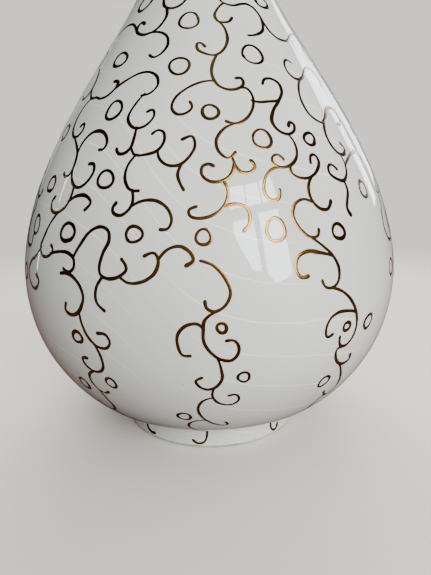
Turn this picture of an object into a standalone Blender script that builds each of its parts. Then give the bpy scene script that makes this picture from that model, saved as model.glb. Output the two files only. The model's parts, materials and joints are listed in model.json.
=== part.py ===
"""Pear-shaped porcelain vase: a turned foot ring, two body sections, a slim neck and a flared lip,
with raised gold scroll trails and rings laid on the glaze. Metres, +Z up, foot resting on Z = 0."""

import math

import bmesh
import bpy
from mathutils import Vector

# Driving dimensions
BELLY_RADIUS = 0.075
HEIGHT = 0.250
FOOT_RADIUS = 0.0377
FOOT_HEIGHT = 0.008
FOOT_RIM_WIDTH = 0.0035
NECK_RADIUS = 0.0154
LIP_RADIUS = 0.0250
WALL = 0.0042
NECK_WALL = 0.0032
FLOOR_THICKNESS = 0.005
JOINT_GAP = 0.0003
GILT_WIDTH = 0.00092
GILT_RISE = 0.00028
RING_SCALE = 1.0

# Resolution
TURN_STEPS = 48
RING_STEPS = 12
GILT_CHORD = 0.00031

# Joint heights, as parts of the whole height
BELLY_JOINT = 0.256
NECK_JOINT = 0.664
LIP_JOINT = 0.908

# Copies of the gilding around the body
GILT_COPIES = 3

# Body outline: (part of the height, part of the belly radius), from the foot to the root of the neck
BODY_OUTLINE = [
    (0.034, 0.524),
    (0.046, 0.612),
    (0.064, 0.704),
    (0.088, 0.788),
    (0.120, 0.868),
    (0.168, 0.949),
    (0.224, 0.994),
    (0.256, 1.000),
    (0.296, 0.992),
    (0.384, 0.912),
    (0.480, 0.757),
    (0.584, 0.537),
    (0.640, 0.412),
    (0.688, 0.321),
]

# Neck outline: (part of the height, share of the way from the neck radius to the lip radius)
NECK_OUTLINE = [
    (0.736, 0.36),
    (0.784, 0.09),
    (0.824, 0.00),
    (0.862, 0.03),
    (0.900, 0.13),
    (0.936, 0.32),
    (0.966, 0.59),
    (0.988, 0.91),
]

# Gilding: each line runs through (degrees around, thousandths of a 250-unit height)
GILT_UNIT = HEIGHT / 250.0
GILT_LINES = {
    "crown": [
        [(5.5, 161), (7.5, 158), (10, 156.6), (15, 156), (20, 156.9), (24, 157.2), (28, 155.9),
         (30, 152.5), (28, 148.3), (24, 146.2), (19, 145.3)],
        [(9.5, 156.6), (5.6, 154.2), (4, 151.8), (5.2, 149.9), (8.2, 149.4), (11, 149.9), (12.6, 151.2)],
        [(5.6, 149.8), (8.2, 147.2), (8.8, 143.6), (7, 140.2), (3.4, 137.9), (-0.6, 138.3),
         (-3.8, 139.9), (-4.1, 141.7), (-2.6, 142), (-0.9, 140.8)],
        [(30, 152.5), (31.6, 148.6), (34.6, 146.3), (38.5, 145.7), (42.5, 146.3), (47, 148.4),
         (52, 150.2), (56.5, 149.6)],
        [(4, 138.2), (2, 135), (1.5, 131.6), (3.2, 128.2), (6.4, 126.7), (9.8, 127), (12, 128.6),
         (11.7, 130.2), (9.9, 130.3)],
        [(2.6, 129.3), (-2, 129), (-6.6, 127.2), (-10.2, 124.2), (-10.9, 121.4), (-9.2, 119.4),
         (-6.6, 119.5), (-4.7, 121.2), (-5.4, 122.9)],
        [(10.2, 127.2), (13, 127), (14.3, 124.6), (13.6, 121.2), (11.2, 118), (8, 116.4), (5.2, 117)],
        [(7.8, 116.4), (4.2, 114.7), (2.1, 111.6), (2.6, 108.4), (5, 106.5), (6.8, 108)],
        [(6, 106.9), (6.7, 104.4), (7.9, 102.7), (10, 102.5), (11.6, 104.1), (10.8, 105.7)],
        [(6.4, 105.4), (5.4, 102), (3, 100.2), (0.2, 100.2), (-1.7, 102), (-1.6, 104.1), (-0.2, 104.9),
         (1.1, 104.4)],
        [(3.4, 100.4), (4.4, 97.6), (3.6, 94), (1.2, 91.4), (-1.8, 90.3), (-4.3, 90.9), (-4.6, 92.5),
         (-3, 93.4)],
        [(3.6, 93.5), (6.2, 94), (8.4, 93.1), (9.2, 90.8), (8.9, 88.6), (7.7, 86.9)],
    ],
    "sash": [
        [(18.9, 128.9), (20, 130.4), (22.8, 130.8), (25.4, 129.4), (25.5, 126.9), (23, 123.7),
         (20, 120.4), (18.8, 117.2), (20.2, 114.6), (23, 113.6), (25.5, 114.8), (26, 116.6),
         (24.8, 117.3), (24, 116.2)],
        [(15.8, 123), (18, 123.1), (22.8, 123.7)],
        [(23, 113.7), (24.5, 110.4), (23.9, 107), (21.4, 104.5), (18.2, 104), (16.5, 105.4),
         (16.8, 107), (18.2, 107.5), (19.6, 106.3)],
        [(18.4, 104), (15.4, 103), (13.6, 100.3), (13.2, 97), (14.6, 94.9), (16.6, 95.2), (17.2, 97.6)],
        [(21.4, 104.6), (21.3, 102.4), (23.4, 101), (26.4, 101), (29.4, 103), (31, 105.8),
         (30.2, 107.7), (28.7, 107.4), (28, 105.4)],
        [(27, 101.2), (25.4, 98.2), (25.6, 94.8), (27.6, 92.2), (30, 91.9), (31.6, 94)],
        [(25.6, 94.1), (23, 94.9), (20.6, 93.5), (19.7, 90.6), (21, 87), (23.6, 84.4), (25.6, 84.4),
         (26.2, 86.1)],
        [(23.8, 84.3), (26.8, 81.6), (29.6, 78.4), (31.1, 74.4), (30.6, 70.8), (28.8, 69.2),
         (26.9, 69.7), (25.9, 71.6)],
        [(29.4, 78.6), (26, 79.7), (22.4, 80.4), (19.8, 79), (19.2, 76), (20.2, 73.4), (22, 73.4)],
        [(28.6, 69.3), (32, 67.6), (35, 64.6), (37.4, 60.4), (38.6, 55.4), (38, 51.2), (35.8, 48.9),
         (33.6, 49.6), (32.8, 52.6)],
        [(37, 60.2), (34.6, 61), (31, 61.2), (28.6, 59.6), (27.7, 56.2), (28.4, 53.8), (29.9, 54.2)],
        [(34.6, 49), (32.8, 48.2), (33.2, 45.4), (35.4, 42.4), (38, 41.4), (40, 42.4), (39.6, 44.2)],
        [(36, 42), (38.6, 38), (41.2, 33.6), (42.6, 29.4), (41.2, 27.2), (38.6, 27.2), (36.4, 29.8)],
        [(39.6, 27), (37, 25.4), (36.6, 22.4), (38.4, 19), (41, 15.4), (41, 11.2), (39.4, 8.4),
         (38.6, 6), (38.9, 3.4), (41, 1.8), (44, 2.1), (44.9, 3.6)],
    ],
    "strand": [
        [(-2, 79), (1, 77.4), (3.4, 73.6), (4.2, 69.8), (3, 66.6), (0.8, 65), (-0.8, 66), (-1.2, 67.8)],
        [(1.8, 65.4), (0, 64.2), (-1.4, 62.4), (-1.7, 59.4), (-1.6, 56), (-0.2, 52.8), (2, 50.4),
         (4.4, 49.9), (5.9, 51.8), (6, 54.6), (4.9, 56.3), (3.4, 56.3)],
        [(-1.6, 60), (-3, 61.5), (-5.6, 60.8), (-7.3, 58), (-7.3, 54.4), (-6.4, 51.8), (-4.8, 51.6)],
        [(1.4, 50.8), (2.2, 47), (2.4, 43.4), (1.1, 40.6), (-1, 39.5), (-3, 40.7), (-3.8, 42.8),
         (-2.4, 44)],
        [(0.6, 40.2), (0.1, 37), (1.2, 34.2), (3.6, 32.7), (5.8, 33), (7, 34.9), (6.2, 37), (4.4, 36.8)],
        [(0.3, 36), (-2.2, 34.8), (-3.8, 31.6), (-3.6, 28.2), (-2, 24.8), (0.8, 22), (3.4, 20.8),
         (5, 21.2), (4.2, 23)],
        [(-1.8, 24.6), (-5, 24), (-7.5, 22), (-7.9, 19.2), (-6.4, 16.6), (-3.6, 14), (-2.6, 11),
         (-3.2, 8.4), (-3.2, 5.6), (-4.2, 3), (-6.6, 1.8), (-9.4, 1.8), (-11.4, 2.8)],
    ],
    "veil": [
        [(-52, 166), (-46, 165.6), (-38, 164.4), (-31, 163), (-27.2, 160), (-25.2, 157.2),
         (-21.4, 155.7), (-17, 155.6), (-13, 157.2), (-10.6, 160.2), (-10.8, 163)],
        [(-22.8, 156), (-21.2, 153), (-23, 149.6), (-26.4, 147.5)],
        [(-58.5, 151.6), (-54, 153), (-48.5, 153.4), (-43.6, 152.6), (-39.4, 150.6), (-36, 148.4),
         (-31, 147.1), (-26, 147.4), (-20.8, 146.6), (-17.4, 144.6), (-16.6, 141.8), (-18.6, 139.2),
         (-21.4, 138.2), (-23.6, 139.1)],
        [(-37.9, 149.8), (-38.2, 151.4), (-36.4, 152.3), (-34, 151.4)],
    ],
    "garland": [
        [(-57.6, 139.4), (-54.4, 137.2), (-52, 134), (-51.6, 131), (-53.4, 129), (-56.2, 128.6),
         (-58.4, 129.8)],
        [(-51.8, 132), (-49.6, 129.2), (-47.2, 127.6), (-44, 127.5), (-40.6, 126.7), (-37, 127.4),
         (-34, 129.7), (-29.8, 131.8), (-25, 133.3), (-20.8, 133.1), (-17.6, 131.2), (-16.9, 128.6),
         (-18.8, 126.4), (-21.8, 125.8)],
        [(-34.6, 129.2), (-34.4, 131.2), (-36.6, 131.9)],
        [(-47.2, 127.6), (-50.4, 125), (-51.6, 121.2), (-50.2, 117.4), (-47.2, 115), (-44.6, 115.3),
         (-43.2, 117.2), (-44, 118.9), (-45.6, 118.5)],
        [(-21, 126.2), (-23.4, 123), (-24.7, 119.4), (-23.3, 116.9), (-20.8, 115.7), (-17.8, 116.6),
         (-16, 119.2), (-16.6, 120.9), (-18.3, 120.6)],
        [(-20.9, 115.9), (-21, 112.4), (-21.4, 110), (-23, 108.5), (-24.8, 108.5), (-25.8, 109.8)],
        [(-21.3, 110.4), (-19.8, 108), (-16.6, 107.9), (-13.4, 109), (-11.9, 111.6), (-12.3, 114.1),
         (-14, 114.8), (-15.5, 113.9)],
        [(-13.4, 109.2), (-12.6, 106.6), (-10.4, 104.8), (-7.6, 104.7), (-5.2, 106.6), (-3.5, 110),
         (-4.3, 112.7), (-6.8, 112)],
        [(-6.6, 105.2), (-7.6, 102.2), (-6.9, 99.8), (-6, 98)],
        [(-19.2, 108), (-21.2, 104.8), (-21.3, 101.2), (-19.6, 98.3), (-17.2, 97.8)],
        [(-18.8, 98), (-18.3, 95), (-19, 92.8), (-21, 91.1), (-23, 91.6), (-23.5, 93), (-22.8, 94.4)],
        [(-18.8, 93.4), (-15.6, 95.1), (-12.2, 95), (-9.5, 92.8), (-8.5, 89.8), (-9.3, 87.6),
         (-10.9, 87.3)],
    ],
    "swag": [
        [(-46.2, 113.6), (-43.8, 112), (-41.4, 109.4), (-40.9, 105.6), (-41.8, 103), (-43.6, 102.4),
         (-45, 103.4)],
        [(-41.3, 109.6), (-40.5, 112.8), (-38.2, 115.2), (-35, 115.9), (-31.8, 114.8), (-29.9, 112.2),
         (-30.4, 110.2), (-32, 110)],
        [(-41, 105.4), (-40.3, 102), (-38, 99.4), (-35.8, 99), (-33.4, 100.5), (-31.9, 103.4),
         (-32.4, 105.6), (-34.2, 105.9)],
        [(-38.2, 99.6), (-38.3, 96.4), (-39.4, 93.6), (-42, 91.7), (-44.8, 91.4), (-46.8, 92.8),
         (-47, 95), (-46, 96.1)],
        [(-38.9, 94.8), (-35.8, 96.5), (-32.6, 96.5), (-30.5, 94.6), (-32, 92.5)],
        [(-42.2, 91.7), (-45.4, 88), (-47.5, 84), (-48.9, 80.2), (-47.6, 77.9), (-45, 77.6),
         (-42.7, 78.9), (-42.3, 80.4), (-43.2, 81.3)],
        [(-48.6, 80.2), (-51.4, 77), (-54.8, 75), (-56.9, 71.8), (-56, 68), (-53, 66), (-50.2, 67),
         (-49, 69.4), (-50.4, 70.9)],
        [(-43.2, 78.8), (-39.4, 79.8), (-36, 79.8), (-33.8, 78.4), (-33.4, 75.8), (-34.8, 74.3),
         (-37, 75.2)],
        [(-33.9, 78.6), (-32, 82.2), (-29.4, 86.2), (-26.4, 87.8), (-24, 86.8), (-23.5, 84),
         (-24.8, 80.6), (-25.6, 76.6), (-25.2, 74.4), (-23.2, 73.4), (-20.4, 74.2), (-18.6, 76.4),
         (-19.8, 79)],
        [(-24.7, 74.1), (-26.4, 70.2), (-26.4, 66.4), (-24.4, 64)],
        [(-20.2, 74.2), (-18, 72.6), (-14.6, 73.2), (-12, 75.6), (-11.2, 79), (-12.2, 81),
         (-14.4, 80.2)],
        [(-11.2, 79.3), (-9.2, 82), (-6.6, 82.9), (-4.4, 81.4), (-3.8, 79.6), (-5, 78.4)],
    ],
    "chain": [
        [(-37.8, 72.6), (-35, 72.5), (-31.8, 70.8), (-30.3, 67.6), (-31, 64.4), (-32.6, 61.9),
         (-34.8, 61), (-36.6, 62), (-36.4, 64.3)],
        [(-32, 62.6), (-31.4, 58), (-30, 54.2), (-27.6, 51.8), (-25.2, 51.9), (-23.9, 54),
         (-24.8, 56.4), (-27, 56.5)],
        [(-28.7, 52.5), (-27.6, 48.4), (-27.9, 44.4), (-29.6, 42.4), (-32.2, 42.1), (-34.2, 44),
         (-34.3, 46.2), (-32.7, 46.8)],
        [(-31.6, 42.1), (-34.4, 39.8), (-35.2, 36.2), (-34, 33.4), (-32, 32.6), (-30.3, 33.6)],
        [(-34.2, 33.8), (-33.5, 29.8), (-33.2, 26), (-34.6, 23.2), (-37, 21.8), (-40, 22.4),
         (-41.2, 24.6)],
        [(-35.6, 22.2), (-34.2, 18.6), (-35.4, 14.6), (-38.6, 11.6), (-42, 8.8), (-44.6, 6.2),
         (-44.4, 3.6), (-41.6, 2), (-38.4, 2)],
    ],
    "drape": [
        [(36.4, 137.7), (34, 138.3), (32.1, 136.9), (31.8, 134.2), (33.8, 132.2), (37, 132.1),
         (40.2, 133.7), (43.2, 136), (47, 137.4), (51, 136.4), (52.4, 133.6), (50.6, 131.6)],
        [(37, 132.1), (34.2, 129.2), (32.7, 125.2), (33.6, 120.8), (36.2, 118.7), (39, 118)],
        [(38.6, 118), (42, 120.6), (45, 123.2), (48.6, 124), (51, 121.8), (50.4, 119), (48, 118.4)],
        [(39.6, 118.4), (38, 114.4), (38.8, 110.6), (41.2, 108.4), (43.8, 108.6), (45.2, 110.4),
         (44, 111.9)],
        [(41.2, 108.5), (42.1, 105.6), (41.2, 102.4), (39, 100.2), (36.2, 100.6), (33.9, 102.2),
         (34, 104.2), (35.3, 105), (37.2, 103.7)],
        [(42, 104.9), (44.8, 107), (48.2, 108.8), (52, 109.6), (55.4, 108.4), (56.2, 106),
         (54.4, 104.8)],
        [(38.8, 100.2), (39.2, 97), (38, 94.2), (37.2, 92), (38, 90)],
        [(55.2, 108.6), (57.4, 104), (57.2, 99.8), (59, 96.8), (61.4, 96.4), (62.4, 98.2)],
        [(59, 97), (59.6, 93), (57.4, 89), (56.6, 84.6), (58.4, 81.2), (60.8, 79.8), (62.4, 80.8),
         (62, 82.8)],
    ],
}

# Gold rings: (degrees around, height, radius), in the same units
GILT_RINGS = [
    (-42.5, 159.6, 3.1),
    (-8.6, 150.2, 3.3),
    (-39.6, 139.6, 3.0),
    (18.2, 138.6, 3.5),
    (-31.2, 122.0, 3.1),
    (14.7, 112.0, 2.9),
    (-27.2, 101.2, 2.8),
    (-37.0, 85.8, 3.0),
    (32.4, 85.3, 2.4),
    (44.1, 55.0, 2.4),
]


def hermite(stations, at):
    """Smooth value through (position, value) stations, with finite-difference slopes."""
    count = len(stations)
    slopes = []
    for index in range(count):
        before = stations[max(index - 1, 0)]
        after = stations[min(index + 1, count - 1)]
        slopes.append((after[1] - before[1]) / (after[0] - before[0]))
    place = 0
    while place < count - 2 and at > stations[place + 1][0]:
        place += 1
    low = stations[place]
    high = stations[place + 1]
    span = high[0] - low[0]
    t = (at - low[0]) / span
    a = 2 * t**3 - 3 * t**2 + 1
    b = t**3 - 2 * t**2 + t
    c = -2 * t**3 + 3 * t**2
    d = t**3 - t**2
    return a * low[1] + b * span * slopes[place] + c * high[1] + d * span * slopes[place + 1]


def outline_stations():
    stations = [(z * HEIGHT, r * BELLY_RADIUS) for z, r in BODY_OUTLINE]
    reach = LIP_RADIUS - NECK_RADIUS
    stations += [(z * HEIGHT, NECK_RADIUS + share * reach) for z, share in NECK_OUTLINE]
    stations.append((HEIGHT, LIP_RADIUS + 0.12 * reach))
    return stations


STATIONS = outline_stations()


def body_radius(z):
    return hermite(STATIONS, z)


def glaze_radius(z):
    """Outside radius at any height, the foot ring included."""
    base = STATIONS[0][0]
    if z >= base:
        return body_radius(z)
    cove = max(0.0, (z - 0.75 * base) / (0.25 * base))
    return FOOT_RADIUS + (body_radius(base) - FOOT_RADIUS) * cove**2


def slope(radius, z):
    step = 0.0002
    return (radius(z + step) - radius(z - step)) / (2 * step)


def inner_radius(z):
    blend = min(max((z / HEIGHT - 0.55) / 0.15, 0.0), 1.0)
    wall = WALL + (NECK_WALL - WALL) * blend
    lean = min(math.sqrt(1 + slope(body_radius, z) ** 2), 1.7)
    return body_radius(z) - wall * lean


def material(name, colour, metallic, roughness):
    made = bpy.data.materials.new(name)
    made.use_nodes = True
    shader = made.node_tree.nodes["Principled BSDF"]
    shader.inputs["Base Color"].default_value = (*colour, 1.0)
    shader.inputs["Metallic"].default_value = metallic
    shader.inputs["Roughness"].default_value = roughness
    made.diffuse_color = (*colour, 1.0)
    return made


def finish(name, work, surface, smooth):
    mesh = bpy.data.meshes.new(name)
    bmesh.ops.recalc_face_normals(work, faces=work.faces)
    for face in work.faces:
        face.smooth = smooth
    work.to_mesh(mesh)
    work.free()
    mesh.materials.append(surface)
    return bpy.data.objects.new(name, mesh)


def turned(name, outline, surface):
    """A solid of revolution from a closed outline of (radius, height); radius 0 is a point on the axis."""
    work = bmesh.new()
    rings = []
    for radius, height in outline:
        if radius <= 0:
            rings.append([work.verts.new((0, 0, height))])
            continue
        ring = []
        for step in range(TURN_STEPS):
            turn = 2 * math.pi * step / TURN_STEPS
            ring.append(work.verts.new((radius * math.sin(turn), -radius * math.cos(turn), height)))
        rings.append(ring)
    pairs = list(zip(rings, rings[1:]))
    if outline[0][0] > 0 and outline[-1][0] > 0:
        pairs.append((rings[-1], rings[0]))
    for lower, upper in pairs:
        if len(lower) == 1 and len(upper) == 1:
            continue
        for step in range(TURN_STEPS):
            after = (step + 1) % TURN_STEPS
            if len(lower) == 1:
                work.faces.new((lower[0], upper[step], upper[after]))
            elif len(upper) == 1:
                work.faces.new((lower[step], lower[after], upper[0]))
            else:
                work.faces.new((lower[step], lower[after], upper[after], upper[step]))
    piece = finish(name, work, surface, True)
    bpy.context.scene.collection.objects.link(piece)
    return piece


def spread(low, high, count):
    return [low + (high - low) * index / (count - 1) for index in range(count)]


def glaze_point(degrees, z):
    """Point and outward normal on the glaze."""
    turn = math.radians(degrees)
    radius = glaze_radius(z)
    out = Vector((math.sin(turn), -math.cos(turn), 0))
    lean = slope(glaze_radius, z)
    normal = Vector((out.x, out.y, -lean)).normalized()
    return out * radius + Vector((0, 0, z)), normal


def through(points, steps=7):
    """Catmull-Rom line through the points."""
    first = tuple(2 * a - b for a, b in zip(points[0], points[1]))
    last = tuple(2 * a - b for a, b in zip(points[-1], points[-2]))
    ends = [first] + list(points) + [last]
    line = []
    for index in range(1, len(ends) - 2):
        p, q, r, s = ends[index - 1:index + 3]
        for step in range(steps):
            t = step / steps
            line.append(tuple(
                0.5 * (2 * b + (c - a) * t + (2 * a - 5 * b + 4 * c - d) * t**2
                       + (3 * b - a - 3 * c + d) * t**3)
                for a, b, c, d in zip(p, q, r, s)
            ))
    line.append(tuple(points[-1]))
    return line


def thinned(line):
    """Keeps the points that the line's shape needs, within GILT_CHORD."""
    placed = [glaze_point(*point)[0] for point in line]
    keep = {0, len(line) - 1}
    spans = [(0, len(line) - 1)]
    while spans:
        low, high = spans.pop()
        if high - low < 2:
            continue
        start = placed[low]
        along = placed[high] - start
        worst = 0.0
        where = low
        for index in range(low + 1, high):
            offset = placed[index] - start
            share = min(max(offset.dot(along) / max(along.length_squared, 1e-12), 0), 1)
            away = (offset - along * share).length
            if away > worst:
                worst = away
                where = index
        if worst > GILT_CHORD:
            keep.add(where)
            spans += [(low, where), (where, high)]
    return [line[index] for index in sorted(keep)]


def gilt_line(name, points, lift, looped, surface):
    """A ridge of gold along the points, three-sided in section."""
    placed = [glaze_point(*point) for point in points]
    work = bmesh.new()
    rings = []
    count = len(placed)
    for index, (place, normal) in enumerate(placed):
        before = placed[(index - 1) % count][0] if looped or index else place
        after = placed[(index + 1) % count][0] if looped or index < count - 1 else place
        along = (after - before).normalized()
        side = normal.cross(along).normalized()
        ended = not looped and index in (0, count - 1)
        if ended:
            place = place + along * GILT_WIDTH * (0.25 if index else -0.25)
        half = GILT_WIDTH * (0.3 if ended else 0.5)
        low = normal * (JOINT_GAP + lift)
        high = normal * (JOINT_GAP + lift + GILT_RISE * (0.7 if ended else 1.0))
        rings.append([
            work.verts.new(place + low - side * half),
            work.verts.new(place + low + side * half),
            work.verts.new(place + high),
        ])
    pairs = list(zip(rings, rings[1:]))
    if looped:
        pairs.append((rings[-1], rings[0]))
    else:
        work.faces.new(rings[0])
        work.faces.new(rings[-1])
    for lower, upper in pairs:
        for corner in range(3):
            other = (corner + 1) % 3
            work.faces.new((lower[corner], lower[other], upper[other], upper[corner]))
    return finish(name, work, surface, False)


def gilt_trail(name, lines, turn, surface):
    """One trail: its lines united into a single body."""
    helpers = bpy.data.collections.new(name + "_lines")
    bpy.context.scene.collection.children.link(helpers)
    trail = None
    for index, points in enumerate(lines):
        set_out = [(degrees + turn, height * GILT_UNIT) for degrees, height in points]
        lift = 0.000013 * (index % 5)
        line = gilt_line(f"{name}_{index}", thinned(through(set_out)), lift, False, surface)
        if trail is None:
            line.name = name
            bpy.context.scene.collection.objects.link(line)
            trail = line
        else:
            helpers.objects.link(line)
            line.hide_render = True
            line.display_type = "WIRE"
    union = trail.modifiers.new("lines", "BOOLEAN")
    union.operation = "UNION"
    union.operand_type = "COLLECTION"
    union.collection = helpers
    union.solver = "EXACT"
    return trail


def gilt_ring(name, degrees, height, radius, surface):
    middle = height * GILT_UNIT
    around = glaze_radius(middle)
    rise = math.sqrt(1 + slope(glaze_radius, middle) ** 2)
    points = []
    for step in range(RING_STEPS):
        turn = 2 * math.pi * step / RING_STEPS
        across = math.degrees(radius * GILT_UNIT * RING_SCALE * math.cos(turn) / around)
        up = radius * GILT_UNIT * RING_SCALE * math.sin(turn) / rise
        points.append((degrees + across, middle + up))
    ring = gilt_line(name, points, 0.0, True, surface)
    bpy.context.scene.collection.objects.link(ring)
    return ring


for old in list(bpy.data.objects):
    bpy.data.objects.remove(old, do_unlink=True)

GLAZE = {
    part: material(f"glazed_porcelain_{part}", (0.70, 0.71, 0.70), 0.0, 0.08)
    for part in ("foot", "lower", "upper", "neck", "lip")
}

# Foot ring: a low turned band, rounded at its standing rim
rim = 0.0008
foot_inside = FOOT_RADIUS - FOOT_RIM_WIDTH
turned("foot_ring", [
    (foot_inside + rim * 0.4, 0.0),
    (FOOT_RADIUS - rim, 0.0),
    (FOOT_RADIUS - rim * 0.3, rim * 0.3),
    (FOOT_RADIUS, rim),
    (FOOT_RADIUS, FOOT_HEIGHT * 0.75),
    (FOOT_RADIUS + rim, FOOT_HEIGHT),
    (foot_inside - rim * 1.6, FOOT_HEIGHT),
    (foot_inside - rim, FOOT_HEIGHT * 0.55),
    (foot_inside, rim * 0.4),
], GLAZE["foot"])

# Lower body: floor and wall up to the widest point
base = FOOT_HEIGHT + JOINT_GAP
seam = BELLY_JOINT * HEIGHT
inside_floor = base + FLOOR_THICKNESS
lowest = max(0.034 * HEIGHT, base + 0.0002)
wall_start = inside_floor + 0.0085
outer = [(body_radius(z), z) for z in spread(lowest, 0.12 * HEIGHT, 6) + spread(0.15 * HEIGHT, seam, 4)]
inner = [(inner_radius(z), z) for z in spread(seam, wall_start, 6)]
corner = inner[-1][0]
turned("lower_body", [(0, base), (FOOT_RADIUS + 0.0004, base)] + outer + inner + [
    (corner * 0.84, inside_floor + 0.0028),
    (corner * 0.66, inside_floor + 0.0006),
    (0, inside_floor),
], GLAZE["lower"])

# Upper body: shoulder and long slope to the neck joint
low = seam + JOINT_GAP
neck_seam = NECK_JOINT * HEIGHT
outer = [(body_radius(z), z) for z in spread(low, neck_seam, 10)]
inner = [(inner_radius(z), z) for z in spread(neck_seam, low, 8)]
turned("upper_body", outer + inner, GLAZE["upper"])

# Neck
low = neck_seam + JOINT_GAP
lip_seam = LIP_JOINT * HEIGHT
outer = [(body_radius(z), z) for z in spread(low, lip_seam, 8)]
inner = [(inner_radius(z), z) for z in spread(lip_seam, low, 7)]
turned("neck", outer + inner, GLAZE["neck"])

# Lip: flared and rounded at its edge
low = lip_seam + JOINT_GAP
edge = HEIGHT - NECK_WALL * 0.5
outer = [(body_radius(z), z) for z in spread(low, edge, 5)]
edge_out = outer[-1][0]
edge_in = inner_radius(edge)
middle = (edge_out + edge_in) / 2
crest = [
    (edge_out - 0.12 * (edge_out - edge_in), HEIGHT - NECK_WALL * 0.18),
    (middle, HEIGHT),
    (edge_in + 0.12 * (edge_out - edge_in), HEIGHT - NECK_WALL * 0.18),
]
inner = [(inner_radius(z), z) for z in spread(edge, low, 5)]
turned("lip", outer + crest + inner, GLAZE["lip"])

# Gilding, repeated around the body
for copy in range(GILT_COPIES):
    turn = 360.0 * copy / GILT_COPIES
    letter = "abcdef"[copy]
    for trail_name, lines in GILT_LINES.items():
        gold = material(f"gilding_{trail_name}_{letter}", (0.62, 0.42, 0.13), 1.0, 0.25)
        gilt_trail(f"gilt_{trail_name}_{letter}", lines, turn, gold)
    for index, (degrees, height, radius) in enumerate(GILT_RINGS):
        gold = material(f"gilding_ring_{letter}{index}", (0.62, 0.42, 0.13), 1.0, 0.25)
        gilt_ring(f"gilt_ring_{letter}{index}", degrees + turn, height, radius, gold)
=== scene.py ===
# Porcelain bottle vase with gilded scrollwork: the looks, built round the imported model
import json
import math
import random

import bmesh
import bpy
from mathutils import Matrix, Vector

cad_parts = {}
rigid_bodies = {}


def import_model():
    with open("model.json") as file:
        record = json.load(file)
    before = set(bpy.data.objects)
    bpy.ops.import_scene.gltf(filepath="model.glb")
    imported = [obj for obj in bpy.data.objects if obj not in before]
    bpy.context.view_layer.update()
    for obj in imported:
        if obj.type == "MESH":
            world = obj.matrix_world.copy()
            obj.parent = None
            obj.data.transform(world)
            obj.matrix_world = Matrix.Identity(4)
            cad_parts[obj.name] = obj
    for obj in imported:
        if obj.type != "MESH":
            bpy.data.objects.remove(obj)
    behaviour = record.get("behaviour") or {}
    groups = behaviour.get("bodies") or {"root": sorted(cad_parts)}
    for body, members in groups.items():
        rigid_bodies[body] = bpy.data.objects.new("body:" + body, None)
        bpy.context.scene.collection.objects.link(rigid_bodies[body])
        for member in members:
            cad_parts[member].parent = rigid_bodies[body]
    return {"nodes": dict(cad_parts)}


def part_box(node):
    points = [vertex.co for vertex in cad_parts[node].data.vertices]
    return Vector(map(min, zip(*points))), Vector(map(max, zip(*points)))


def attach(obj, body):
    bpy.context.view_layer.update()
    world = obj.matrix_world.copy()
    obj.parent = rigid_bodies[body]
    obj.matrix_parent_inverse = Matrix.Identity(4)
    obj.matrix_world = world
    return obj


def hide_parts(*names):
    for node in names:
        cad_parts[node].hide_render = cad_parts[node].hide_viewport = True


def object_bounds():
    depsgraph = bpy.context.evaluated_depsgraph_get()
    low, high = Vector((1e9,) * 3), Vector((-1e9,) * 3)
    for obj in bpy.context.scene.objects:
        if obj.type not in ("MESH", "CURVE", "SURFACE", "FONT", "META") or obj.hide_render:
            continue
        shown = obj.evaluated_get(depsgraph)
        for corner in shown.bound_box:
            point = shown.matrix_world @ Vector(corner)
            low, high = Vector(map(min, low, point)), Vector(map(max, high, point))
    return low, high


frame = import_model()
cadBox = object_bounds()
mm = 0.001
print("frame loaded:", len(frame["nodes"]), "parts")


# small helpers

def linearColour(code):   # "#RRGGBB" as sRGB to linear RGBA
    channels = [int(code[i:i + 2], 16) / 255 for i in (1, 3, 5)]
    return [c / 12.92 if c <= 0.04045 else ((c + 0.055) / 1.055) ** 2.4 for c in channels] + [1.0]


def addNode(tree, kind, inputs=(), **settings):   # a value is set on its socket, an output is linked to it
    node = tree.nodes.new(kind)
    for name, value in settings.items():
        setattr(node, name, value)
    for name, value in dict(inputs).items():
        if isinstance(value, bpy.types.NodeSocket):
            tree.links.new(value, node.inputs[name])
        else:
            node.inputs[name].default_value = value
    return node


def newMaterial(name):   # an empty Principled material: its tree and its shader
    made = bpy.data.materials.new(name)
    made.use_nodes = True
    tree = made.node_tree
    tree.nodes.clear()
    shader = addNode(tree, "ShaderNodeBsdfPrincipled")
    addNode(tree, "ShaderNodeOutputMaterial", {"Surface": shader.outputs[0]})
    return made, tree, shader


def finishPiece(name, work, material, nodes):   # bmesh to a shaded piece that rides on the body
    for face in work.faces:
        face.smooth = True
    mesh = bpy.data.meshes.new(name)
    work.to_mesh(mesh)
    work.free()
    mesh.materials.append(material)
    piece = bpy.data.objects.new(name, mesh)
    bpy.context.scene.collection.objects.link(piece)
    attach(piece, "root")
    if nodes:
        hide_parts(*nodes)
    return piece


def beyond(third, second, last):   # a point past the last one that keeps the line curling as it was
    step, earlier = last - second, second - third
    turning = step - earlier * (step.length / earlier.length)
    return last + step + turning * 0.8


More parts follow.
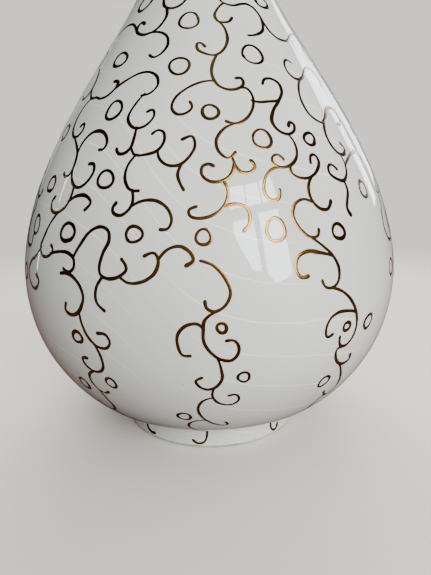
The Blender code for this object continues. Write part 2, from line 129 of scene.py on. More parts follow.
def smoothLine(points, spacing):   # even points along a smooth line through the given ones
    points = [Vector(point) for point in points]
    through = [beyond(points[2], points[1], points[0])] + points
    through.append(beyond(points[-3], points[-2], points[-1]))
    fine, finePerSpan = [points[0]], 16
    for before, start, end, after in zip(through, through[1:], through[2:], through[3:]):
        a, b, c = [math.sqrt((q - p).length) for p, q in ((before, start), (start, end), (end, after))]
        leave = ((start - before) / a - (end - before) / (a + b) + (end - start) / b) * b
        arrive = ((end - start) / b - (after - start) / (b + c) + (after - end) / c) * b
        for step in range(1, finePerSpan + 1):
            t = step / finePerSpan
            fine.append(start * (2 * t**3 - 3 * t**2 + 1) + leave * (t**3 - 2 * t**2 + t)
                        + end * (3 * t**2 - 2 * t**3) + arrive * (t**3 - t**2))
    total = sum((q - p).length for p, q in zip(fine, fine[1:]))
    count = max(2, round(total / spacing))
    line, run, index = [fine[0]], 0.0, 0
    for step in range(1, count):
        wanted = total * step / count
        while run + (fine[index + 1] - fine[index]).length < wanted:
            run += (fine[index + 1] - fine[index]).length
            index += 1
        part = (wanted - run) / (fine[index + 1] - fine[index]).length
        line.append(fine[index].lerp(fine[index + 1], part))
    return line + [fine[-1]]


# the porcelain

vaseBody = {
    "height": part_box("lip")[1].z,
    "belly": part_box("lower_body")[1].x,   # widest radius, at the belly seam
    "footRadius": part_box("foot_ring")[1].x - 0.8 * mm,   # the ring flares by 0.8 mm where it meets the body
    "footInside": 34.3 * mm,
    "bareHeight": 0.7 * mm,   # unglazed standing rim
    "wall": 4.2 * mm,
    "neckWall": 3.2 * mm,
    "thinning": (0.55, 0.70),   # parts of the height between which the wall thins to the neck's
    "floor": 13.3 * mm,       # top of the inside floor
    "wallFrom": 24 * mm,      # the inner wall runs from here, above the floor's round edge
    "wallTo": 3.5 * mm,       # to this far below the rim
    "spacing": 1.25 * mm,     # between rings of the outside
    "smoothing": 26,          # passes that even out the outline, so that reflections run without kinks
    "turnSteps": 168,
}
glazeOutline = [   # outside of body and neck: part of the height, part of the belly radius
    (.034, .524), (.046, .612), (.064, .704), (.088, .788), (.120, .868), (.168, .949), (.224, .994),
    (.256, 1.0), (.296, .992), (.384, .912), (.480, .757), (.584, .537), (.640, .412), (.688, .321),
    (.736, .251), (.784, .217), (.824, .205), (.862, .209), (.900, .222), (.936, .246), (.966, .281),
    (.988, .322),
]


def evened(line, passes):   # each point moves half way to its neighbours' middle, the ends stay
    for _ in range(passes):
        between = [(a + b * 2 + c) / 4 for a, b, c in zip(line, line[1:], line[2:])]
        line = [line[0]] + between + [line[-1]]
    return line


outside = [(part * vaseBody["belly"], up * vaseBody["height"]) for up, part in glazeOutline]
outside = evened(smoothLine(outside, vaseBody["spacing"]), vaseBody["smoothing"])
foot = vaseBody["footRadius"]
cove = [(foot, 1.2 * mm), (foot, 4.6 * mm), (foot + 0.05 * mm, 6.4 * mm), (foot + 0.45 * mm, 7.6 * mm)]
outside = smoothLine(cove, 0.6 * mm) + outside   # foot wall, then the small cove under the body


def glazeRadius(height):   # outside radius at any height
    if height <= outside[0].y:
        return outside[0].x
    for low, high in zip(outside, outside[1:]):
        if height <= high.y:
            return low.x + (high.x - low.x) * (height - low.y) / (high.y - low.y)
    return outside[-1].x


def glazePoint(degrees, height):   # point on the glaze; 0 degrees is the front, positive to its right
    turn, radius = math.radians(degrees), glazeRadius(height)
    return Vector((radius * math.sin(turn), -radius * math.cos(turn), height))


def glazeNormal(point):   # unit vector out of the glaze
    lean = (glazeRadius(point.z + 0.5 * mm) - glazeRadius(point.z - 0.5 * mm)) / mm
    around = Vector((point.x, point.y, 0)).normalized()
    return Vector((around.x, around.y, -lean)).normalized()


def insidePoints():   # inner face, from the lip down to the middle of the floor
    line = []
    thinFrom, thinTo = vaseBody["thinning"]
    for low, high in zip(outside, outside[1:]):
        if vaseBody["wallFrom"] < low.y < vaseBody["height"] - vaseBody["wallTo"]:
            rise = (high - low).normalized()
            share = min(max((low.y / vaseBody["height"] - thinFrom) / (thinTo - thinFrom), 0), 1)
            wall = vaseBody["wall"] + (vaseBody["neckWall"] - vaseBody["wall"]) * share
            line.append(low + Vector((-rise.y, rise.x)) * wall)
    line = line[::-1][::3]   # downward, and coarser than the outside
    low, floor = line[-1], vaseBody["floor"]
    corner = [(low.x, low.y), (low.x * 0.93, floor + 5.2 * mm), (low.x * 0.80, floor + 1.6 * mm),
              (low.x * 0.60, floor + 0.2 * mm), (0, floor)]
    return line[:-1] + smoothLine(corner, 3 * mm)


def turnedWork(profile, steps):   # spins an outline of (radius, height) points into a closed skin
    work = bmesh.new()
    tip = bmesh.ops.create_vert(work, co=(profile[0][0], 0, profile[0][1]))["vert"][0]
    for radius, height in profile[1:]:
        grown = bmesh.ops.extrude_vert_indiv(work, verts=[tip])["verts"][0]
        bmesh.ops.translate(work, verts=[grown], vec=Vector((radius, 0, height)) - grown.co)
        tip = grown
    bmesh.ops.spin(work, geom=work.verts[:] + work.edges[:], cent=(0, 0, 0), axis=(0, 0, 1),
                   angle=2 * math.pi, steps=steps, use_merge=True, use_duplicate=False)
    bmesh.ops.remove_doubles(work, verts=work.verts, dist=0.002 * mm)
    bmesh.ops.recalc_face_normals(work, faces=work.faces)
    return work


rimTop = vaseBody["height"]
edge = outside[-1]
lipInside = insidePoints()
lipRound = [(edge.x, edge.y), (edge.x + 0.75 * mm, rimTop - 1.3 * mm),
            (edge.x + 0.30 * mm, rimTop - 0.25 * mm), (edge.x - 0.9 * mm, rimTop),
            (edge.x - 2.1 * mm, rimTop - 0.55 * mm), (edge.x - 3.0 * mm, rimTop - 2.2 * mm),
            tuple(lipInside[0])]
under = vaseBody["footInside"]
bare = vaseBody["bareHeight"]
underside = [(0, 8.6 * mm), (20 * mm, 8.3 * mm), (under - 3.0 * mm, 7.6 * mm),
             (under - 0.9 * mm, 6.0 * mm), (under - 0.15 * mm, 3.0 * mm), (under, bare)]
skin = smoothLine(underside, 1.4 * mm)
skin += [Vector((foot - 0.1 * mm, bare)), Vector((foot, bare + 0.15 * mm))]   # glaze edge over the bare rim
skin += outside + smoothLine(lipRound, 0.5 * mm)[1:-1] + lipInside

glazeLook = {
    "clear": "#D8DCD8",        # thick clear glaze over white body
    "shade": "#CDD2CE",        # where the glaze runs thinner and greyer
    "craze": "#F1F2EE",        # fine healed craze lines, paler than the ground
    "speck": "#6F665C",        # iron specks in the body
    "poolShade": "#C6CCCB",         # gathered glaze in the cove of the foot, drawn greyer: painted shade under the body's overhang
    "cloud": 55.0,             # mm between thick and thin glaze
    "crazeSpacing": 11.0,      # mm between craze lines
    "crazeWidth": 0.45,        # mm; a real line is 0.1 mm, and is drawn wide enough to show
    "crazeMiddle": -15.0,      # degrees round, where the lines are steepest
    "crazeReach": 14.0,        # degrees to either side over which they fall
    "crazeFall": 17.0,         # mm that they fall on either side of the middle
    "crazeLean": 0.15,         # mm per degree that they fall all the way round
    "crazeDrift": 5.0,         # mm that they wander
    "driftLength": 40.0,       # mm between wanders
    "crazePatch": 50.0,        # mm between stretches where the lines show
    "speckCell": 8.5,          # mm between places where a speck may lie
    "speckRarity": 0.93,       # part of those places left clean
    "speckStrength": 0.55,
    "poolShadeBand": (6.2, 8.6, 8.8, 13.0),   # mm up: the painted shade gathers between the first two, thins between the others
    "wipe": 22.0,              # mm between smoother and rougher glaze
    "roughness": (0.012, 0.032),
    "wave": 15.0,              # mm between the slow waves of the fired surface
    "waveDepth": 0.022,        # mm
    "peel": 2.2,               # mm between the fine waves
    "peelDepth": 0.0012,       # mm
}


def glazedPorcelain():   # clear feldspathic glaze, fired glossy: sharp reflections over soft white, IOR 1.5
    look = glazeLook
    made, tree, shader = newMaterial("glazedPorcelain")
    place = addNode(tree, "ShaderNodeTexCoord").outputs["Object"]
    axes = addNode(tree, "ShaderNodeSeparateXYZ", {0: place})
    up = addNode(tree, "ShaderNodeMath", {0: axes.outputs["Z"], 1: 1000.0}, operation="MULTIPLY").outputs[0]
    back = addNode(tree, "ShaderNodeMath", {0: axes.outputs["Y"], 1: -1.0}, operation="MULTIPLY").outputs[0]
    turn = addNode(tree, "ShaderNodeMath", {0: axes.outputs["X"], 1: back}, operation="ARCTAN2").outputs[0]
    degrees = addNode(tree, "ShaderNodeMath", {0: turn, 1: 180 / math.pi}, operation="MULTIPLY").outputs[0]

    cloud = addNode(tree, "ShaderNodeTexNoise",
                    {"Vector": place, "Scale": 1000 / look["cloud"], "Detail": 3.0, "Roughness": 0.5})
    ground = addNode(tree, "ShaderNodeValToRGB", {0: cloud.outputs[0]})
    for stop, spot, tone in zip(ground.color_ramp.elements, (0.32, 0.66), ("shade", "clear")):
        stop.position = spot
        stop.color = linearColour(look[tone])

    # craze lines: level on the left, falling across the front, level again low on the right
    fall = addNode(tree, "ShaderNodeMath", {0: degrees, 1: -look["crazeMiddle"]}, operation="ADD").outputs[0]
    eased = addNode(tree, "ShaderNodeMath", {0: fall, 1: 1 / look["crazeReach"]},
                    operation="MULTIPLY").outputs[0]
    bell = addNode(tree, "ShaderNodeMath", {0: eased}, operation="TANH").outputs[0]
    steep = addNode(tree, "ShaderNodeMath", {0: bell, 1: look["crazeFall"], 2: up},
                    operation="MULTIPLY_ADD").outputs[0]
    level = addNode(tree, "ShaderNodeMath", {0: degrees, 1: look["crazeLean"], 2: steep},
                    operation="MULTIPLY_ADD").outputs[0]
    drift = addNode(tree, "ShaderNodeTexNoise",
                    {"Vector": place, "Scale": 1000 / look["driftLength"], "Detail": 2.0})
    bend = addNode(tree, "ShaderNodeMath", {0: drift.outputs[0], 1: look["crazeDrift"], 2: level},
                   operation="MULTIPLY_ADD").outputs[0]
    cycle = addNode(tree, "ShaderNodeMath", {0: bend, 1: 1 / look["crazeSpacing"]},
                    operation="MULTIPLY").outputs[0]
    part = addNode(tree, "ShaderNodeMath", {0: cycle}, operation="FRACT").outputs[0]
    offset = addNode(tree, "ShaderNodeMath", {0: part, 1: 0.5}, operation="SUBTRACT").outputs[0]
    nearness = addNode(tree, "ShaderNodeMath", {0: offset}, operation="ABSOLUTE").outputs[0]
    halfLine = look["crazeWidth"] / 2 / look["crazeSpacing"]   # as a share of the spacing
    line = addNode(tree, "ShaderNodeMapRange",
                   {"Value": nearness, "From Min": halfLine * 0.4, "From Max": halfLine * 1.6,
                    "To Min": 1.0, "To Max": 0.0}).outputs[0]
    patch = addNode(tree, "ShaderNodeTexNoise",
                    {"Vector": place, "Scale": 1000 / look["crazePatch"], "Detail": 1.0})
    shown = addNode(tree, "ShaderNodeMapRange",
                    {"Value": patch.outputs[0], "From Min": 0.44, "From Max": 0.60}).outputs[0]
    craze = addNode(tree, "ShaderNodeMath", {0: line, 1: shown}, operation="MULTIPLY").outputs[0]
    crazed = addNode(tree, "ShaderNodeMix", {0: craze, 6: ground.outputs[0], 7: linearColour(look["craze"])},
                     data_type="RGBA").outputs[2]

    # sparse iron specks, each well under a millimetre wide
    cells = addNode(tree, "ShaderNodeTexVoronoi",
                    {"Vector": place, "Scale": 1000 / look["speckCell"], "Randomness": 1.0})
    dot = addNode(tree, "ShaderNodeMapRange",
                  {"Value": cells.outputs["Distance"], "From Min": 0.025, "From Max": 0.05,
                   "To Min": 1.0, "To Max": 0.0}).outputs[0]
    cellTone = addNode(tree, "ShaderNodeSeparateColor", {0: cells.outputs["Color"]}).outputs[0]
    rare = addNode(tree, "ShaderNodeMath", {0: cellTone, 1: look["speckRarity"]},
                   operation="GREATER_THAN").outputs[0]
    speck = addNode(tree, "ShaderNodeMath", {0: dot, 1: rare}, operation="MULTIPLY").outputs[0]
    faint = addNode(tree, "ShaderNodeMath", {0: speck, 1: look["speckStrength"]},
                    operation="MULTIPLY").outputs[0]
    specked = addNode(tree, "ShaderNodeMix", {0: faint, 6: crazed, 7: linearColour(look["speck"])},
                      data_type="RGBA").outputs[2]

    # glaze gathered where the foot meets the body, drawn greyer: painted shade in the crease under the body
    gatherFrom, gatherTo, thinFrom, thinTo = look["poolShadeBand"]
    low = addNode(tree, "ShaderNodeMapRange", {"Value": up, "From Min": gatherFrom, "From Max": gatherTo},
                  interpolation_type="SMOOTHSTEP").outputs[0]
    high = addNode(tree, "ShaderNodeMapRange",
                   {"Value": up, "From Min": thinFrom, "From Max": thinTo, "To Min": 1.0, "To Max": 0.0},
                   interpolation_type="SMOOTHSTEP").outputs[0]
    poolShadeMask = addNode(tree, "ShaderNodeMath", {0: low, 1: high}, operation="MULTIPLY").outputs[0]
    poolShaded = addNode(tree, "ShaderNodeMix", {0: poolShadeMask, 6: specked, 7: linearColour(look["poolShade"])},
                     data_type="RGBA").outputs[2]
    tree.links.new(poolShaded, shader.inputs["Base Color"])

    wipe = addNode(tree, "ShaderNodeTexNoise",
                   {"Vector": place, "Scale": 1000 / look["wipe"], "Detail": 4.0, "Roughness": 0.6})
    smooth, rough = look["roughness"]
    gloss = addNode(tree, "ShaderNodeMapRange",
                    {"Value": wipe.outputs[0], "From Min": 0.35, "From Max": 0.75,
                     "To Min": smooth, "To Max": rough}).outputs[0]
    tree.links.new(gloss, shader.inputs["Roughness"])
    wave = addNode(tree, "ShaderNodeTexNoise", {"Vector": place, "Scale": 1000 / look["wave"], "Detail": 1.0})
    slow = addNode(tree, "ShaderNodeBump",
                   {"Strength": 1.0, "Distance": look["waveDepth"] * mm, "Height": wave.outputs[0]})
    peel = addNode(tree, "ShaderNodeTexNoise", {"Vector": place, "Scale": 1000 / look["peel"], "Detail": 1.0})
    fine = addNode(tree, "ShaderNodeBump",
                   {"Strength": 1.0, "Distance": look["peelDepth"] * mm, "Height": peel.outputs[0],
                    "Normal": slow.outputs[0]})
    tree.links.new(fine.outputs[0], shader.inputs["Normal"])
    shader.inputs["IOR"].default_value = 1.5
    return made


bodyPiece = finishPiece("porcelainBody", turnedWork(skin, vaseBody["turnSteps"]), glazedPorcelain(),
                        ["foot_ring", "lower_body", "upper_body", "neck", "lip"])
print("porcelain body:", len(bodyPiece.data.polygons), "faces")


# the bare standing rim

bareRim = {
    "body": "#C9BBA6",       # unglazed porcelain
    "stain": "#8E7A66",      # where it met the kiln shelf
    "grain": 0.35,           # mm between grains
    "grainDepth": 0.06,      # mm
    "toast": 12.0,           # mm between stained patches
    "roughness": 0.82,
}
rimProfile = [(under - 0.05 * mm, bare + 0.1 * mm), (under + 0.05 * mm, bare * 0.45),
              (under + 0.5 * mm, 0.05 * mm), (under + 1.0 * mm, 0),
              (foot - 1.0 * mm, 0), (foot - 0.45 * mm, 0.08 * mm),
              (foot + 0.02 * mm, bare * 0.5), (foot + 0.04 * mm, bare + 0.1 * mm),
              (under - 0.05 * mm, bare + 0.1 * mm)]


def bareBiscuit():   # unglazed porcelain, wiped clean: matt, faintly gritty, toasted by the kiln shelf
    made, tree, shader = newMaterial("bareBiscuit")
    place = addNode(tree, "ShaderNodeTexCoord").outputs["Object"]
    grit = addNode(tree, "ShaderNodeTexNoise",
                   {"Vector": place, "Scale": 1000 / bareRim["grain"], "Detail": 3.0})
    toast = addNode(tree, "ShaderNodeTexNoise",
                    {"Vector": place, "Scale": 1000 / bareRim["toast"], "Detail": 3.0})
    ramp = addNode(tree, "ShaderNodeValToRGB", {0: toast.outputs[0]})
    for stop, spot, tone in zip(ramp.color_ramp.elements, (0.36, 0.62), ("stain", "body")):
        stop.position = spot
        stop.color = linearColour(bareRim[tone])
    tree.links.new(ramp.outputs[0], shader.inputs["Base Color"])
    bump = addNode(tree, "ShaderNodeBump",
                   {"Strength": 0.6, "Distance": bareRim["grainDepth"] * mm, "Height": grit.outputs[0]})
    tree.links.new(bump.outputs[0], shader.inputs["Normal"])
    shader.inputs["Roughness"].default_value = bareRim["roughness"]
    return made


rimPiece = finishPiece("bareFootRim", turnedWork(rimProfile, vaseBody["turnSteps"]), bareBiscuit(),
                       [])
print("bare foot rim:", len(rimPiece.data.polygons), "faces")


# the gilding

trailStrokes = {   # each stroke: (degrees round from the front, height in mm) points, as it is drawn
    "crown": [
        [(5.5, 161), (7.5, 158), (10, 156.6), (15, 156), (20, 156.9), (24, 157.2),
         (28, 155.9), (30, 152.5), (28, 148.3), (24, 146.2), (19, 145.3)],
        [(9.5, 156.6), (5.6, 154.2), (4, 151.8), (5.2, 149.9), (8.2, 149.4), (11, 149.9), (12.6, 151.2)],
        [(5.6, 149.8), (8.2, 147.2), (8.8, 143.6), (7, 140.2), (3.4, 137.9),
         (-0.6, 138.3), (-3.8, 139.9), (-4.1, 141.7), (-2.6, 142), (-0.9, 140.8)],
        [(30.2, 152.5), (31.6, 148.6), (34.6, 146.3), (38.5, 145.7),
         (42.5, 146.3), (47, 148.4), (52, 150.2), (56.5, 149.6)],
        [(4, 138.2), (2, 135), (1.5, 131.6), (3.2, 128.2), (6.4, 126.7),
         (9.8, 127), (12, 128.6), (11.7, 130.2), (9.9, 130.3)],
        [(1.7, 129.4), (-2, 129), (-6.6, 127.2), (-10.2, 124.2), (-10.9, 121.4),
         (-9.2, 119.4), (-6.6, 119.5), (-4.7, 121.2), (-5.4, 122.9)],
        [(10.2, 127.2), (13, 127), (14.3, 124.6), (13.6, 121.2), (11.2, 118), (8, 116.4), (5.2, 117)],
        [(7.8, 116.4), (4.2, 114.7), (2.1, 111.6), (2.6, 108.4), (5, 106.5), (6.8, 108)],
        [(6, 106.9), (6.7, 104.4), (7.9, 102.7), (10, 102.5), (11.6, 104.1), (10.8, 105.7)],
        [(6.4, 105.4), (5.4, 102), (3, 100.2), (0.2, 100.2),
         (-1.7, 102), (-1.6, 104.1), (-0.2, 104.9), (1.1, 104.4)],
        [(3.4, 100.4), (4.4, 97.6), (3.6, 94), (1.2, 91.4),
         (-1.8, 90.3), (-4.3, 90.9), (-4.6, 92.5), (-3, 93.4)],
        [(3.6, 93.5), (6.2, 94), (8.4, 93.1), (9.2, 90.8), (8.9, 88.6), (7.7, 86.9)],
    ],
    "sash": [
        [(18.9, 128.9), (20, 130.4), (22.8, 130.8), (25.4, 129.4), (25.5, 126.9), (23, 123.7), (20, 120.4),
         (18.8, 117.2), (20.2, 114.6), (23, 113.6), (25.5, 114.8), (26, 116.6), (24.8, 117.3), (24, 116.2)],
        [(13.9, 123.4), (16, 123), (19, 123.3), (22.8, 123.7)],
        [(23, 113.7), (24.5, 110.4), (23.9, 107), (21.4, 104.5), (18.2, 104),
         (16.5, 105.4), (16.8, 107), (18.2, 107.5), (19.6, 106.3)],
        [(18.4, 104), (15.4, 103), (13.6, 100.3), (13.2, 97), (14.6, 94.9), (16.6, 95.2), (17.2, 97.6)],
        [(21.4, 104.6), (21.3, 102.4), (23.4, 101), (26.4, 101), (29.4, 103),
         (31, 105.8), (30.2, 107.7), (28.7, 107.4), (28, 105.4)],
        [(27, 101.2), (25.4, 98.2), (25.6, 94.8), (27.6, 92.2), (30, 91.9), (31.6, 94)],
        [(25.6, 94.1), (23, 94.9), (20.6, 93.5), (19.7, 90.6),
         (21, 87), (23.6, 84.4), (25.6, 84.4), (26.2, 86.1)],
        [(23.8, 84.3), (26.8, 81.6), (29.6, 78.4), (31.1, 74.4),
         (30.6, 70.8), (28.8, 69.2), (26.9, 69.7), (25.9, 71.6)],
        [(29.4, 78.6), (26, 79.7), (22.4, 80.4), (19.8, 79), (19.2, 76), (20.2, 73.4), (22, 73.4)],
        [(28.6, 69.3), (32, 67.6), (35, 64.6), (37.4, 60.4), (38.6, 55.4),
         (38, 51.2), (35.8, 48.9), (33.6, 49.6), (32.8, 52.6)],
        [(37, 60.2), (34.6, 61), (31, 61.2), (28.6, 59.6), (27.7, 56.2), (28.4, 53.8), (29.9, 54.2)],
        [(34.6, 49), (32.8, 48.2), (33.2, 45.4), (35.4, 42.4), (38, 41.4), (40, 42.4), (39.6, 44.2)],
        [(36, 42), (38.6, 38), (41.2, 33.6), (42.6, 29.4), (41.2, 27.2), (38.6, 27.2), (36.4, 29.8)],
        [(39.6, 27), (37, 25.4), (36.6, 22.4), (38.4, 19), (41, 15.4), (41, 11.2),
         (39.4, 8.4), (38.6, 6), (38.9, 3.4), (41, 1.8), (44, 2.1), (44.9, 3.6)],
    ],
    "strand": [
        [(-2, 79), (1, 77.4), (3.4, 73.6), (4.2, 69.8), (3, 66.6), (0.8, 65), (-0.8, 66), (-1.2, 67.8)],
        [(1.8, 65.4), (0, 64.2), (-1.4, 62.4), (-1.7, 59.4), (-1.6, 56), (-0.2, 52.8),
         (2, 50.4), (4.4, 49.9), (5.9, 51.8), (6, 54.6), (4.9, 56.3), (3.4, 56.3)],
        [(-1.6, 60), (-3, 61.5), (-5.6, 60.8), (-7.3, 58), (-7.3, 54.4), (-6.4, 51.8), (-4.8, 51.6)],
        [(1.4, 50.8), (2.2, 47), (2.4, 43.4), (1.1, 40.6),
         (-1, 39.5), (-3, 40.7), (-3.8, 42.8), (-2.4, 44)],
        [(0.6, 40.2), (0.1, 37), (1.2, 34.2), (3.6, 32.7), (5.8, 33), (7, 34.9), (6.2, 37), (4.4, 36.8)],
        [(0.3, 36), (-2.2, 34.8), (-3.8, 31.6), (-3.6, 28.2), (-2, 24.8),
         (0.8, 22), (3.4, 20.8), (5, 21.2), (4.2, 23)],
        [(-1.8, 24.6), (-5, 24), (-7.5, 22), (-7.9, 19.2), (-6.4, 16.6), (-3.6, 14), (-2.6, 11),
         (-3.2, 8.4), (-3.2, 5.6), (-4.2, 3), (-6.6, 1.8), (-9.4, 1.8), (-11.4, 2.8)],
    ],
    "veil": [
        [(-52, 166), (-46, 165.6), (-38, 164.4), (-31, 163), (-27.2, 160), (-25.2, 157.2),
         (-21.4, 155.7), (-17, 155.6), (-13, 157.2), (-10.6, 160.2), (-10.8, 163)],
        [(-22.8, 156), (-21.2, 153), (-23, 149.6), (-26.4, 147.5)],
        [(-58.5, 151.6), (-54, 153), (-48.5, 153.4), (-43.6, 152.6), (-39.4, 150.6),
         (-36, 148.4), (-31, 147.1), (-26, 147.4), (-20.8, 146.6), (-17.4, 144.6),
         (-16.6, 141.8), (-18.6, 139.2), (-21.4, 138.2), (-23.6, 139.1)],
        [(-37.9, 149.8), (-38.2, 151.4), (-36.4, 152.3), (-34, 151.4)],
    ],
    "garland": [
        [(-57.6, 139.4), (-54.4, 137.2), (-52, 134), (-51.6, 131),
         (-53.4, 129), (-56.2, 128.6), (-58.4, 129.8)],
        [(-51.8, 132), (-49.6, 129.2), (-47.2, 127.6), (-44, 127.5), (-40.6, 126.7),
         (-37, 127.4), (-34, 129.7), (-29.8, 131.8), (-25, 133.3), (-20.8, 133.1),
         (-17.6, 131.2), (-16.9, 128.6), (-18.8, 126.4), (-21.8, 125.8)],
        [(-34.6, 129.2), (-34.4, 131.2), (-36.6, 131.9)],
        [(-47.2, 127.6), (-50.4, 125), (-51.6, 121.2), (-50.2, 117.4), (-47.2, 115),
         (-44.6, 115.3), (-43.2, 117.2), (-44, 118.9), (-45.6, 118.5)],
        [(-21, 126.2), (-23.4, 123), (-24.7, 119.4), (-23.3, 116.9), (-20.8, 115.7),
         (-17.8, 116.6), (-16, 119.2), (-16.6, 120.9), (-18.3, 120.6)],
        [(-20.9, 115.9), (-21, 112.4), (-21.4, 110), (-23, 108.5), (-24.8, 108.5), (-25.8, 109.8)],
        [(-21.3, 110.4), (-19.8, 108), (-16.6, 107.9), (-13.4, 109),
         (-11.9, 111.6), (-12.3, 114.1), (-14, 114.8), (-15.5, 113.9)],
        [(-13.4, 109.2), (-12.6, 106.6), (-10.4, 104.8), (-7.6, 104.7),
         (-5.2, 106.6), (-3.5, 110), (-4.3, 112.7), (-6.8, 112)],
        [(-6.6, 105.2), (-7.6, 102.2), (-6.9, 99.8), (-6, 98)],
        [(-19.2, 108), (-21.2, 104.8), (-21.3, 101.2), (-19.6, 98.3), (-17.2, 97.8)],
        [(-18.8, 98), (-18.3, 95), (-19, 92.8), (-21, 91.1), (-23, 91.6), (-23.5, 93), (-22.8, 94.4)],
        [(-18.8, 93.4), (-15.6, 95.1), (-12.2, 95), (-9.5, 92.8),
         (-8.5, 89.8), (-9.3, 87.6), (-10.9, 87.3)],
    ],
    "swag": [
        [(-47, 115), (-43.8, 112.4), (-41.4, 109.4), (-40.9, 105.6),
         (-41.8, 103), (-43.6, 102.4), (-45, 103.4)],
        [(-41.3, 109.6), (-40.5, 112.8), (-38.2, 115.2), (-35, 115.9),
         (-31.8, 114.8), (-29.9, 112.2), (-30.4, 110.2), (-32, 110)],
        [(-41, 105.4), (-40.3, 102), (-38, 99.4), (-35.8, 99),
         (-33.4, 100.5), (-31.9, 103.4), (-32.4, 105.6), (-34.2, 105.9)],
        [(-38.2, 99.6), (-38.3, 96.4), (-39.4, 93.6), (-42, 91.7),
         (-44.8, 91.4), (-46.8, 92.8), (-47, 95), (-46, 96.1)],
        [(-38.9, 94.8), (-35.8, 96.5), (-32.6, 96.5), (-30.5, 94.6), (-32, 92.5)],
        [(-42.2, 91.7), (-45.4, 88), (-47.5, 84), (-48.9, 80.2), (-47.6, 77.9),
         (-45, 77.6), (-42.7, 78.9), (-42.3, 80.4), (-43.2, 81.3)],
        [(-48.6, 80.2), (-51.4, 77), (-54.8, 75), (-56.9, 71.8), (-56, 68),
         (-53, 66), (-50.2, 67), (-49, 69.4), (-50.4, 70.9)],
        [(-43.2, 78.8), (-39.4, 79.8), (-36, 79.8), (-33.8, 78.4),
         (-33.4, 75.8), (-34.8, 74.2), (-37, 74.9)],
        [(-33.9, 78.6), (-32, 82.2), (-29.4, 86.2), (-26.4, 87.8), (-24, 86.8), (-23.5, 84), (-24.8, 80.6),
         (-25.6, 76.6), (-25.2, 74.4), (-23.2, 73.4), (-20.4, 74.2), (-18.6, 76.4), (-19.8, 79)],
        [(-24.7, 73.7), (-26.4, 70.2), (-26.4, 66.4), (-24.4, 64)],
        [(-20.2, 74.2), (-18, 72.6), (-14.6, 73.2), (-12, 75.6), (-11.2, 79), (-12.2, 81), (-14.4, 80.2)],
        [(-11.2, 79.3), (-9.2, 82), (-6.6, 82.9), (-4.4, 81.4), (-3.6, 79.2), (-5, 77.8)],
    ],
    "chain": [
        [(-38, 73.4), (-35, 73.6), (-31.8, 71.2), (-30.3, 67.6), (-31, 64.4),
         (-32.6, 61.9), (-34.8, 61), (-36.6, 62), (-36.4, 64.3)],
        [(-32, 62.6), (-31.4, 58), (-30, 54.2), (-27.6, 51.8),
         (-25.2, 51.9), (-23.9, 54), (-24.8, 56.4), (-27, 56.5)],
        [(-28.7, 52.5), (-27.6, 48.4), (-27.9, 44.4), (-29.6, 42.4),
         (-32.2, 42.1), (-34.2, 44), (-34.3, 46.2), (-32.7, 46.8)],
        [(-31.6, 42.1), (-34.4, 39.8), (-35.2, 36.2), (-34, 33.4), (-32, 32.6), (-30.3, 33.6)],
        [(-34.2, 33.8), (-33.5, 29.8), (-33.2, 26), (-34.6, 23.2),
         (-37, 21.8), (-40, 22.4), (-41.2, 24.6)],
        [(-35.6, 22.2), (-34.2, 18.6), (-35.4, 14.6), (-38.6, 11.6), (-42, 8.8),
         (-44.6, 6.2), (-44.4, 3.6), (-41.6, 2), (-38.4, 2)],
    ],
    "drape": [
        [(36.4, 137.7), (34, 138.3), (32.1, 136.9), (31.8, 134.2), (33.8, 132.2), (37, 132.1),
         (40.2, 133.7), (43.2, 136), (47, 137.4), (51, 136.4), (52.4, 133.6), (50.6, 131.6)],
        [(37, 132.1), (34.2, 129.2), (32.7, 125.2), (33.6, 120.8), (36.2, 118.7), (39, 118)],
        [(38.6, 118), (42, 120.6), (45, 123.2), (48.6, 124), (51, 121.8), (50.4, 119), (48, 118.4)],
        [(39.6, 118.4), (38, 114.4), (38.8, 110.6), (41.2, 108.4),
         (43.8, 108.6), (45.2, 110.4), (44, 111.9)],
        [(41.2, 108.5), (42.1, 105.6), (41.2, 102.4), (39, 100.2), (36.2, 100.6),
         (33.9, 102.2), (34, 104.2), (35.3, 105), (37.2, 103.7)],
        [(42, 104.9), (44.8, 107), (48.2, 108.8), (52, 109.6), (55.4, 108.4), (56.2, 106), (54.4, 104.8)],
        [(38.8, 100.2), (39.2, 97), (38, 94.2), (37.2, 92), (38, 90)],
        [(55.2, 108.6), (57.4, 104), (57.2, 99.8), (59, 96.8), (61.4, 96.4), (62.4, 98.2)],
        [(59, 97), (59.6, 93), (57.4, 89), (56.6, 84.6),
         (58.6, 81), (61.4, 79.6), (63.6, 80.6), (63.8, 83)],
    ],
}
ringSpots = [   # loose rings: degrees round from the front, height in mm, radius in mm
    (-42.5, 160.4, 3.2), (36.6, 159.4, 2.5), (-8.6, 150.2, 3.3), (57.5, 143.6, 2.9), (-39.6, 139.6, 3),
    (18.2, 138.6, 3.5), (-10.2, 134.5, 3.2), (-31.2, 122, 3.1), (0.7, 119.8, 2.4), (-57.6, 117.6, 2.8),
    (14.7, 112, 2.9), (30.2, 112.5, 2.1), (-27.2, 101.2, 2.8), (-51, 100.2, 2.7), (47.8, 97.5, 2.6),
    (-54.6, 87, 3), (-37, 85.8, 3), (-17.2, 86, 2.4), (-1.4, 85.3, 2.1), (15, 86.8, 3),
    (32.4, 85.3, 2.4), (59, 70.4, 2.8), (2.3, 60.2, 1.4), (34.7, 55.8, 1.5), (44.1, 55, 2.4),
    (-34, 53.8, 2), (7.6, 43.8, 1.8), (-27.3, 38.5, 2), (32.7, 35.8, 2.3), (-40, 34, 2.4),
    (-8.3, 26.5, 2.2),
]

